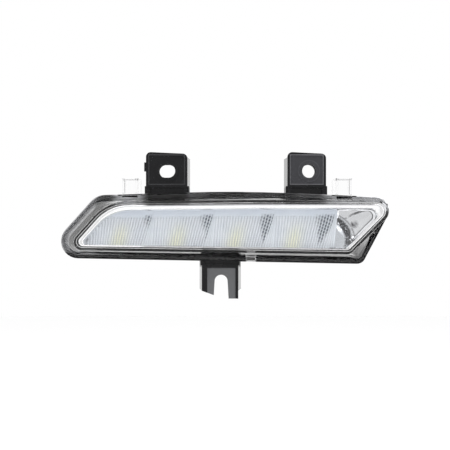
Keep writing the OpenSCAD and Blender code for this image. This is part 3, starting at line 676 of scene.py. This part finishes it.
# %% Helpers for node groups
def new_group(name, inputs, outputs):
    """A node group, the sockets that it is given, and the node that puts out its results."""
    group = bpy.data.node_groups.new(name, "ShaderNodeTree")
    for side, sockets in (("INPUT", inputs), ("OUTPUT", outputs)):
        for label, kind in sockets.items():
            group.interface.new_socket(label, in_out=side, socket_type="NodeSocket" + kind)
    start, end = group.nodes.new("NodeGroupInput"), group.nodes.new("NodeGroupOutput")
    return group, start.outputs, end


def placed(tree, group, given):
    node = add(tree, "Group")
    node.node_tree = group
    fill(tree, node, given)
    return node.outputs


print("group helpers ready")

# %% [markdown]
# ### A finish that wanders
# No moulded, plated or fired surface is one even colour. Large soft patches shift the colour
# and the gloss between two values, and a fine grain can raise the surface.

# %% The wandering finish
wandering, given, end = new_group(
    "wandering finish",
    {
        "Low Colour": "Color", "High Colour": "Color", "Patch Scale": "Float",
        "Low Roughness": "Float", "High Roughness": "Float", "Grain Scale": "Float",
    },
    {"Colour": "Color", "Roughness": "Float", "Height": "Float"},
)
patches = map_range(wandering, noise(wandering, given["Patch Scale"]), 0.3, 0.7)
fill(wandering, end, {
    "Colour": mixed(wandering, patches, given["Low Colour"], given["High Colour"]),
    "Roughness": map_range(wandering, patches, 0.0, 1.0, given["Low Roughness"], given["High Roughness"]),
    "Height": noise(wandering, given["Grain Scale"], 2.0),
})
GRAIN_HEIGHT = 0.0002


def finish(name, low, high, patch_scale, rough_low, rough_high, grain=0.0, grain_scale=0.0, metallic=0.0):
    """A material whose colour and gloss wander between two values, with a fine grain if asked."""
    material, tree, shader = new_material(name)
    made = placed(tree, wandering, {
        "Low Colour": (*low, 1), "High Colour": (*high, 1), "Patch Scale": patch_scale,
        "Low Roughness": rough_low, "High Roughness": rough_high, "Grain Scale": grain_scale,
    })
    fill(tree, shader, {"Base Color": made["Colour"], "Roughness": made["Roughness"], "Metallic": metallic})
    if grain:
        bump = add(tree, "Bump")
        fill(tree, bump, {"Strength": grain, "Distance": GRAIN_HEIGHT, "Height": made["Height"]})
        fill(tree, shader, {"Normal": bump.outputs["Normal"]})
    return material


print("node group:", wandering.name)

# %% [markdown]
# ### The main plastics
# The housing is satin black plastic, the frame and the reflector are plastic with a thin
# bright metal coat, and the seal is a dull black bead. In a white room glossy black
# looks grey, so this black mirrors less than usual.

# %% Black plastic, metallised plastic and sealant
BLACK_IOR = 1.33


def shader_of(material):
    return material.node_tree.nodes["Principled BSDF"]


black = finish(
    "satin black plastic", (0.004, 0.004, 0.005), (0.008, 0.008, 0.009), 60, 0.2, 0.3, 0.1, 2500)
fill(black.node_tree, shader_of(black), {"IOR": BLACK_IOR})
chrome = finish(
    "metallised plastic", (0.95, 0.95, 0.955), (0.975, 0.975, 0.98), 40, 0.05, 0.09, metallic=1.0)
cell_chrome = finish(
    "metallised reflector", (0.8, 0.81, 0.83), (0.86, 0.87, 0.89), 90, 0.08, 0.16, metallic=1.0)
seal_black = finish("cured sealant", (0.003, 0.003, 0.003), (0.008, 0.008, 0.008), 200, 0.5, 0.7)
print("main finishes:", [item.name for item in (black, chrome, cell_chrome, seal_black)])

# %% [markdown]
# ### Masks by place
# A mask is 1 where a change of finish belongs and 0 elsewhere. It could be painted on the
# piece, but worked out from the place in the piece it stays exact: one group gives the place
# in millimetres, and one is 1 between two limits.

# %% Masks from the place in the piece
millimetres, given, end = new_group(
    "places in millimetres", {}, {"X": "Float", "Y": "Float", "Z": "Float"})
coords = add(millimetres, "TexCoord")
parts = add(millimetres, "SeparateXYZ")
fill(millimetres, parts, {"Vector": coords.outputs["Object"]})
fill(millimetres, end, {
    axis: calc(millimetres, "MULTIPLY", parts.outputs[axis], MM_PER_M) for axis in "XYZ"
})

band_mask, given, end = new_group(
    "band mask", {"Value": "Float", "Low": "Float", "High": "Float", "Soft": "Float"}, {"Mask": "Float"})
slopes = []
for limit, outward, back_in in (("Low", "SUBTRACT", "ADD"), ("High", "ADD", "SUBTRACT")):
    none_at = calc(band_mask, outward, given[limit], given["Soft"])
    full_at = calc(band_mask, back_in, given[limit], given["Soft"])
    slopes.append(map_range(band_mask, given["Value"], none_at, full_at, soft=True))
fill(band_mask, end, {"Mask": product(band_mask, *slopes)})


def places(tree):
    """X, Y and Z of the piece in millimetres."""
    made = placed(tree, millimetres, {})
    return made["X"], made["Y"], made["Z"]


def between(tree, value, low, high, soft=0.3):
    """1 where a value lies between two limits, with soft ends."""
    return placed(tree, band_mask, {"Value": value, "Low": low, "High": high, "Soft": soft})["Mask"]


print("node groups:", millimetres.name, "and", band_mask.name)

# %% [markdown]
# The ring mask measures the distance from a centre, seen from in front. With a radius of 0
# it becomes a soft disc. The overlay helper lays a colour over a finish through any mask, as
# paint through a stencil.

# %% Ring mask and overlay
FULL_SHARE = 0.4
ring_mask, given, end = new_group(
    "ring mask", {"Centre": "Vector", "Radius": "Float", "Width": "Float", "Strength": "Float"},
    {"Mask": "Float"})
flat = add(ring_mask, "VectorMath")
flat.operation = "MULTIPLY"
coords = add(ring_mask, "TexCoord")
fill(ring_mask, flat, {0: coords.outputs["Object"], 1: (MM_PER_M, 0, MM_PER_M)})
distance = add(ring_mask, "VectorMath")
distance.operation = "DISTANCE"
fill(ring_mask, distance, {0: flat.outputs["Vector"], 1: given["Centre"]})
off_ring = calc(ring_mask, "SUBTRACT", distance.outputs["Value"], given["Radius"])
off_ring = calc(ring_mask, "ABSOLUTE", off_ring)
full_at = calc(ring_mask, "MULTIPLY", given["Width"], FULL_SHARE)
near = map_range(ring_mask, off_ring, given["Width"], full_at, 0.0, given["Strength"], True)
fill(ring_mask, end, {"Mask": near})


def near_ring(tree, centre, radius, width, strength):
    """The given strength near a ring about a centre, and 0 away from it."""
    centre = (centre[0], 0, centre[1])
    given = {"Centre": centre, "Radius": radius, "Width": width, "Strength": strength}
    return placed(tree, ring_mask, given)["Mask"]


def overlay(material, mask, colour):
    tree, shader = material.node_tree, shader_of(material)
    under = shader.inputs["Base Color"].links[0].from_socket
    colour = (*colour, 1) if isinstance(colour, tuple) else colour
    fill(tree, shader, {"Base Color": mixed(tree, mask, under, colour)})


print("node group:", ring_mask.name)

# %% [markdown]
# ### Painted reflections in the bright right end
# The dish at the right end mirrors the optic's flutes as dark dotted arcs. A path tracer
# would find them only with a modelled room, so the arcs are painted into the finish as a
# painted reflection: each is a ring about a centre, broken up by noise. The left part takes
# the optic's colour as a painted reflection too.

# %% Arcs in the reflector's finish
ARC_CENTRE, DISC_CENTRE, EDGE_CENTRE, BLOB = (11, -44), (12, -42), (44, -66), (28.3, -34)
REFLECTED_ARC_GREY, REFLECTED_DISC_COLOUR = (0.05, 0.05, 0.055), (0.68, 0.71, 0.75)
tree = cell_chrome.node_tree
broken = ramp(tree, noise(tree, 900, 2), [(0.34, DARK), (0.44, WHITE)])
patchy = ramp(tree, noise(tree, 160, 3), [(0.38, DARK), (0.58, WHITE)])
broad = near_ring(tree, ARC_CENTRE, 13.6, 3.2, 0.97)
fine = near_ring(tree, (12, -44), 16.4, 0.8, 0.45)
arcs = product(tree, calc(tree, "MAXIMUM", broad, fine), broken)
upper_edge = product(tree, near_ring(tree, EDGE_CENTRE, 41.5, 0.9, 0.95), patchy)
blob = product(tree, near_ring(tree, BLOB, 0, 3.2, 0.9), patchy)
arcs = calc(tree, "MAXIMUM", calc(tree, "MAXIMUM", arcs, upper_edge), blob)
overlay(cell_chrome, near_ring(tree, DISC_CENTRE, 0, 19, 1.0), REFLECTED_DISC_COLOUR)
overlay(cell_chrome, arcs, REFLECTED_ARC_GREY)
print("nodes in the reflector's finish:", len(tree.nodes))

# %% [markdown]
# ### The seat behind the clear flange
# Through the clear flange one sees the seat and the sealant. It isn't one even black:
# painted light, pale greys that stand in for light and reflections seen through the flange,
# is drawn out into streaks along the edge. The housing and the seal share this look, so it
# is a node group too.

# %% Greys of painted light along the seat
GREY_START, GREY_SPAN = 175, 240
SEAT_LIGHT_GREYS = [
    (-137, 0.12), (-127, 0.12), (-123, 0.7), (-109, 0.65), (-105, 0.14), (-103, 0), (-79, 0),
    (-76, 0.12), (-66, 0.1), (-63, 0), (-42, 0), (-40, 0.07), (-22, 0.06), (-19, 0.03), (-8, 0.05),
    (-5, 0.12), (7, 0.14), (11, 0.5), (22, 0.85), (45, 1),
]


def line_through(tree, x, a, b):
    """The height of the line through two points at x."""
    slope = (b[1] - a[1]) / (b[0] - a[0])
    return calc(tree, "ADD", calc(tree, "MULTIPLY", x, slope), a[1] - slope * a[0])


def grey_along(tree, x, stops):
    """A grey that changes along X, from pairs of a place in millimetres and a grey."""
    share = calc(tree, "DIVIDE", calc(tree, "ADD", x, GREY_START), GREY_SPAN)
    return ramp(tree, share, [((place + GREY_START) / GREY_SPAN, (g, g, g * 1.02)) for place, g in stops])


print("greys along the seat:", len(SEAT_LIGHT_GREYS))

# %% [markdown]
# The group measures how far a point lies below the flange's upper edge. Its streaks of
# painted light are noise stretched along X. On the rim's outer side the painted pale zone
# stops, so that the lamp is black seen from above.

# %% Painted light on the seat
seat, given, end = new_group(
    "seat with painted light", {"Front": "Float", "Back": "Float"},
    {"Edge Mask": "Float", "Edge Grey": "Color", "Nose Mask": "Float", "Below Top": "Float"},
)
X, Y, Z = places(seat)
left_top, right_top = line_through(seat, X, SHOULDER, APEX), line_through(seat, X, APEX, TIP)
below_top = calc(seat, "SUBTRACT", calc(seat, "MINIMUM", left_top, right_top), Z)
above_foot = calc(seat, "SUBTRACT", Z, line_through(seat, X, NOSE, HEEL))
drawn_out = add(seat, "CombineXYZ")
fill(seat, drawn_out, {
    "X": calc(seat, "MULTIPLY", X, 0.09), "Y": calc(seat, "MULTIPLY", below_top, 1.5),
})
streaks = map_range(seat, noise(seat, 1.0, 3, drawn_out.outputs["Vector"]), 0.35, 0.6, 0.55)
# Painted light: pale streaks that stand in for light and reflections seen through the flange
seat_light = product(seat, between(seat, Y, given["Front"], given["Back"]), streaks)
inside = calc(seat, "MAXIMUM", between(seat, Y, -2, 0.4, 0.1), between(seat, below_top, 0.8, 6, 0.15))
edge = product(seat, seat_light, inside, between(seat, below_top, -0.4, 4.4, 0.4), between(seat, X, -136, 60, 2))
nose = product(seat, seat_light, between(seat, X, -180, -136, 2), between(seat, above_foot, 4.0, 60, 1))
fill(seat, end, {
    "Edge Mask": edge, "Edge Grey": grey_along(seat, X, SEAT_LIGHT_GREYS),
    "Nose Mask": nose, "Below Top": below_top,
})
print("nodes in the seat with painted light:", len(seat.nodes))

# %% [markdown]
# The painted light greys the seal through its whole depth, and the housing only at the front of its rim.

# %% Place the painted light on the seat
# Painted light at the nose, seen through the clear flange
NOSE_LIGHT_GREY = (0.38, 0.38, 0.39)


def paint_seat_light(material, front, back):
    """Greys the seat with painted light from front to back, and gives the distance below the upper edge."""
    made = placed(material.node_tree, seat, {"Front": front, "Back": back})
    overlay(material, made["Edge Mask"], made["Edge Grey"])
    overlay(material, made["Nose Mask"], NOSE_LIGHT_GREY)
    return made["Below Top"]


paint_seat_light(seal_black, -1, 12)
below_top = paint_seat_light(black, -1, 3.4)
print("finishes with the seat with painted light:", seal_black.name, "and", black.name)

# %% [markdown]
# ### Zones of the housing
# One moulding doesn't look one even black. The field of the fork and the field of the right
# lug are greyer with a painted sheen, where they mirror more light, a fine painted highlight
# runs round each lug's field, and the housing's inner wall gets painted light where light
# falls on it through the lens. Faces could be given materials of their own, but masks by
# place leave the exact solid as it is.

# %% Fields of the lugs and the fork
FORK_X, FORK_Z, FORK_SHEEN_GREY = (-65.2, -47.1), (-90, -62.2), (0.125, 0.127, 0.132)
LUG_X, LUG_Z, LUG_SHEEN_GREY = (-11.9, 9.0), (-8.2, 10.2), (0.042, 0.042, 0.047)
INNER_LIGHT_GREYS = [
    (-134, 0.08), (-126, 0.12), (-122, 0.6), (-108, 0.5), (-104, 0), (-88, 0), (-80, 0.3),
    (-21, 0.3), (-17, 0.04), (7, 0.08), (12, 0.5), (16, 1), (26, 1), (40, 1),
]
tree = black.node_tree
X, Y, Z = places(tree)
front = between(tree, Y, -1.0, 3.4)
below_lens = between(tree, below_top, 5.4, 9.2, 0.25)
inner = product(tree, between(tree, Y, -1, 27.6), below_lens, between(tree, X, -134, 60, 2))
# Painted light on the inner wall, where light falls on it through the lens
overlay(black, inner, grey_along(tree, X, INNER_LIGHT_GREYS))
# Painted sheen on the fields of the fork and the right lug
overlay(black, product(tree, front, between(tree, X, *FORK_X), between(tree, Z, *FORK_Z, 0.5)), FORK_SHEEN_GREY)
overlay(black, product(tree, front, between(tree, X, *LUG_X), between(tree, Z, *LUG_Z)), LUG_SHEEN_GREY)
print("nodes in the housing's finish:", len(tree.nodes))

# %% [markdown]
# A raised field catches the light on its edge. That thin line is a painted highlight, drawn
# as the places whose distance from a rectangle is nearly 0, and the round hole's collar gets
# a ring of painted highlight.

# %% Lines round the fields of the lugs
RIGHT_LINE_GREY, LEFT_LINE_GREY = (0.13, 0.13, 0.14), (0.045, 0.045, 0.048)
COLLAR_GREY, LINE_WIDTH = (0.09, 0.09, 0.1), 0.3


def border_line(centre, half):
    """1 on a thin line round a rectangle seen from in front."""
    gaps = []
    for value, middle, reach in ((X, centre[0], half[0]), (Z, centre[1], half[1])):
        away = calc(tree, "ABSOLUTE", calc(tree, "SUBTRACT", value, middle))
        gaps.append(calc(tree, "SUBTRACT", away, reach))
    return between(tree, calc(tree, "MAXIMUM", *gaps), -LINE_WIDTH, LINE_WIDTH, LINE_WIDTH * 0.5)


# Painted highlights round the lug fields and on the hole's collar
overlay(black, product(tree, front, border_line((-1.45, 0.9), (10.5, 9.4))), RIGHT_LINE_GREY)
overlay(black, product(tree, front, border_line((-91.15, 0.9), (11.4, 9.4))), LEFT_LINE_GREY)
collar = product(tree, between(tree, Y, -1, 1.2), near_ring(tree, (0, 0), 6.8, 0.5, 0.5))
overlay(black, collar, COLLAR_GREY)
print("nodes with the lines:", len(tree.nodes))

# %% [markdown]
# The gloss changes by place too. The side flanges come smooth from the mould and mirror the
# bright room, and the walls of the two bored holes are dull.

# %% Gloss of the flanks and the bores
POLISH, BORE_REACH = 0.85, 8.5
shader = shader_of(black)
rough = shader.inputs["Roughness"].links[0].from_socket
flanks = calc(tree, "ADD", between(tree, Z, -10, 13), between(tree, Z, -84, -62))
flanks = product(tree, flanks, between(tree, Y, 2.2, 21), POLISH)
polished = product(tree, rough, calc(tree, "SUBTRACT", 1.0, flanks))
slot = product(tree, between(tree, X, -97.2, -84.8), between(tree, Z, -4.6, 4.6))
bores = calc(tree, "ADD", near_ring(tree, (0, 0), 0, BORE_REACH, 1.0), slot)
bores = product(tree, bores, between(tree, Y, 0.6, 12))
fill(tree, shader, {"Roughness": calc(tree, "MAXIMUM", polished, bores)})
print("nodes with the gloss:", len(tree.nodes))

# %% [markdown]
# ### Zones of the frame
# The frame's upper lip and its foot stand in the shade of the housing, and the heel at the
# lower right shows dark blots where the metal mirrors dark parts. The painted shade and the
# painted reflections are laid over the bright metal.

# %% Painted shade and reflections on the frame
LIP_GREY, FOOT_GREY, REFLECTION_BLOT_GREY = (0.34, 0.34, 0.35), (0.56, 0.56, 0.57), (0.05, 0.05, 0.055)
tree = chrome.node_tree
X, Y, Z = places(tree)
left_top, right_top = line_through(tree, X, W_SHOULDER, W_APEX), line_through(tree, X, W_APEX, W_TIP)
window_top = calc(tree, "MINIMUM", left_top, right_top)
lip = between(tree, calc(tree, "SUBTRACT", Z, window_top), -0.75, 6, 0.15)
overlay(chrome, product(tree, lip, between(tree, X, -104, 40, 3)), LIP_GREY)
foot = calc(tree, "SUBTRACT", Z, line_through(tree, X, W_NOSE, W_HEEL))
overlay(chrome, product(tree, between(tree, foot, -3, 1.0, 0.3), between(tree, X, -106, 60, 4)), FOOT_GREY)
# Painted reflections: dark blots where the heel mirrors dark parts
reflected_blots = ramp(tree, noise(tree, 420, 3), [(0.42, WHITE), (0.6, (0.25, 0.25, 0.25))])
heel = product(tree, between(tree, X, 12, 60, 1), between(tree, Z, -62, -48.6, 0.4), reflected_blots)
overlay(chrome, product(tree, heel, between(tree, Y, -11.4, 10, 0.2)), REFLECTION_BLOT_GREY)
print("nodes in the frame's finish:", len(tree.nodes))

# %% [markdown]
# ### Finishes of the inner pieces
# The pieces behind the optic are hardly seen, but an opened lamp shows them. One grey for all
# would be quicker, but each takes the wandering finish with the colours of its real material.

# %% Board, parts, heat spreader and vent
board_white = finish("white solder mask", (0.72, 0.72, 0.69), (0.8, 0.8, 0.77), 90, 0.3, 0.45)
phosphor = finish("yellow phosphor", (0.8, 0.62, 0.12), (0.88, 0.72, 0.2), 400, 0.4, 0.6)
pad_grey = finish("thermal pad", (0.34, 0.39, 0.46), (0.42, 0.47, 0.55), 120, 0.7, 0.9)
aluminium = finish("mill aluminium", (0.6, 0.61, 0.63), (0.7, 0.71, 0.73), 150, 0.28, 0.42, 0.1, 900, 1.0)
zinc = finish("zinc plate", (0.6, 0.6, 0.57), (0.7, 0.7, 0.66), 300, 0.25, 0.4, metallic=1.0)
chip = finish("moulded epoxy", (0.02, 0.02, 0.022), (0.035, 0.035, 0.04), 500, 0.45, 0.6)
ferrite = finish("fired ferrite", (0.1, 0.1, 0.105), (0.15, 0.15, 0.155), 500, 0.5, 0.7)
ceramic = finish("fired ceramic", (0.42, 0.3, 0.18), (0.5, 0.38, 0.25), 500, 0.35, 0.5)
tin = finish("tin plate", (0.66, 0.63, 0.54), (0.75, 0.72, 0.62), 300, 0.2, 0.35, metallic=1.0)
film = finish("vent film", (0.7, 0.7, 0.68), (0.8, 0.8, 0.78), 800, 0.7, 0.9)
cap_black = finish("vent cap plastic", (0.02, 0.02, 0.02), (0.035, 0.035, 0.036), 120, 0.4, 0.55, 0.1, 2500)
print("materials so far:", len(bpy.data.materials))

# %% [markdown]
# ### Clear plastic
# The lens is clear, hard-coated plastic. It bends light, so its folds and its rib draw
# bright and dark lines over the black housing, and true refraction is worth its cost here.
# Lamps shine straight through it, because a path tracer can't find them through a bent ray.
# Its index is set under the real one of about 1.5, so that the sloped sides mirror less of
# the white room.

# %% Clear material
LENS_IOR, LENS_ROUGH = 1.4, 0.03
clear, tree, shader = new_material("clear lens plastic")
fill(tree, shader, {
    "Base Color": (0.99, 0.99, 0.992, 1), "Transmission Weight": 1.0, "IOR": LENS_IOR,
    "Roughness": map_range(tree, noise(tree, 35), 0.0, 1.0, 0.0, LENS_ROUGH),
})
see_through = add(tree, "BsdfTransparent")
fill(tree, see_through, {"Color": (0.96, 0.965, 0.97, 1)})
path = add(tree, "LightPath")
straight = calc(tree, "MAXIMUM", path.outputs["Is Shadow Ray"], path.outputs["Is Diffuse Ray"])
blend = add(tree, "MixShader")
fill(tree, blend, {0: straight, 1: shader.outputs["BSDF"], 2: see_through.outputs["BSDF"]})
fill(tree, tree.nodes["Material Output"], {"Surface": blend.outputs["Shader"]})
print("index of the clear plastic:", LENS_IOR)

# %% [markdown]
# ### Milky optic
# The optic's plastic is milky and bluish. Light scattered inside it would be slow to trace
# and hides the flutes, so the tint comes from the points of the sheet, with a light
# cloudiness over it.

# %% Optic material
milky, tree, shader = new_material("milky optic")
tint = add(tree, "VertexColor")
tint.layer_name = "tint"
haze = ramp(tree, noise(tree, 120, 4), [(0.3, (0.94, 0.95, 0.96)), (0.7, WHITE)])
cloudy = mixed(tree, 1.0, tint.outputs["Color"], haze, "MULTIPLY")
fill(tree, shader, {"Base Color": cloudy, "Roughness": 0.22})
print("tint layer:", tint.layer_name)

# %% [markdown]
# ### Each piece gets its finish
# The lofted pieces take their materials directly. The exact solids are looked up by the
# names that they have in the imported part, so a missing piece would stop the script here.

# %% Give each piece its finish
def dress(target, material):
    """Makes a material the only one of a piece."""
    target.data.materials.clear()
    target.data.materials.append(material)


for piece, material in ((lens, clear), (tabs, clear), (bright, chrome), (optic, milky)):
    dress(piece, material)
finishes = {
    "rear_housing": black, "lens_seal": seal_black, "reflector": cell_chrome, "led_board": board_white,
    "thermal_pad": pad_grey, "heat_spreader": aluminium, "driver_chip": chip, "power_inductor": ferrite,
    "input_capacitor": ceramic, "output_capacitor": ceramic, "protection_diode": chip,
    "sense_resistor_1": chip, "sense_resistor_2": chip, "terminal_1": tin, "terminal_2": tin,
    "vent_membrane": film, "vent_cap": cap_black,
}
for i in (1, 2, 3, 4):
    finishes[f"led_{i}"] = phosphor
    finishes[f"board_screw_{i}"] = zinc
for name, material in finishes.items():
    dress(cad[name], material)
print("exact solids dressed:", len(finishes))

# %% [markdown]
# ## Studio
# The lamp is held in the air, as a fitted lamp is, above a plain pale floor in an even white
# room. Behind the camera the room is a little darker, as it is round a real camera, and that
# darker patch is what flat black and bright faces mirror.

# %% Floor and room
scene = bpy.context.scene
CENTRE = Vector((-0.0538, 0.0, -0.0346))
FLOOR_Z, FLOOR_NEAR, FLOOR_FAR, FLOOR_SIDE = -0.21, -2, 1.2, 2
ROOM_WHITE_TO, ROOM_GREY_FROM, ROOM_GREY = 0.94, 0.985, 0.74


def stage_plane(name, corners):
    """A flat piece that belongs to the studio and not to the lamp."""
    mesh = bpy.data.meshes.new(name)
    mesh.from_pydata(corners, [], [(0, 1, 2, 3)])
    plane = bpy.data.objects.new(name, mesh)
    scene.collection.objects.link(plane)
    return plane


paper, tree, shader = new_material("white paper")
fill(tree, shader, {"Base Color": (0.96, 0.96, 0.96, 1), "Roughness": 0.9})
floor = stage_plane("floor", [
    (-FLOOR_SIDE, FLOOR_NEAR, FLOOR_Z), (FLOOR_SIDE, FLOOR_NEAR, FLOOR_Z),
    (FLOOR_SIDE, FLOOR_FAR, FLOOR_Z), (-FLOOR_SIDE, FLOOR_FAR, FLOOR_Z),
])
dress(floor, paper)
world = bpy.data.worlds.new("studio")
world.use_nodes = True
tree = world.node_tree
direction = add(tree, "TexCoord")
part = add(tree, "SeparateXYZ")
fill(tree, part, {"Vector": direction.outputs["Generated"]})
toward_camera = calc(tree, "MULTIPLY", part.outputs["Y"], -1.0)
room = ramp(tree, toward_camera, [(ROOM_WHITE_TO, WHITE), (ROOM_GREY_FROM, (ROOM_GREY,) * 3)])
fill(tree, tree.nodes["Background"], {"Color": room, "Strength": 1.0})
scene.world = world
print("floor lies at", FLOOR_Z, "m")

# %% [markdown]
# ### Lamps and camera
# Two large soft lamps add form to the even room: one overhead, and a weaker one at the right
# that brightens the raked end. The camera looks straight at the front, through a long lens
# so that the holes stay round.

# %% Lamps and camera
def soft_lamp(name, place, target, size, power):
    """A rectangular lamp that faces a target."""
    light = bpy.data.lights.new(name, "AREA")
    light.shape = "RECTANGLE"
    light.size, light.size_y = size
    light.energy = power
    lamp = bpy.data.objects.new(name, light)
    lamp.location = place
    lamp.rotation_euler = (Vector(target) - Vector(place)).to_track_quat("-Z", "Y").to_euler()
    scene.collection.objects.link(lamp)


soft_lamp("overhead", (-0.05, -0.25, 0.7), CENTRE, (0.9, 0.5), 2.0)
soft_lamp("right", (0.6, -0.35, 0.1), CENTRE, (0.4, 0.5), 0.6)
camera_data = bpy.data.cameras.new("camera")
camera_data.lens = 75
camera_data.clip_start = 0.01
CAMERA_DISTANCE = 0.6
camera = bpy.data.objects.new("camera", camera_data)
camera.location = CENTRE + Vector((0, -CAMERA_DISTANCE, 0))
camera.rotation_euler = (math.radians(90), 0, 0)
scene.collection.objects.link(camera)
scene.camera = camera
scene.view_settings.view_transform = "Standard"
print("camera at", tuple(round(value, 4) for value in camera.location))
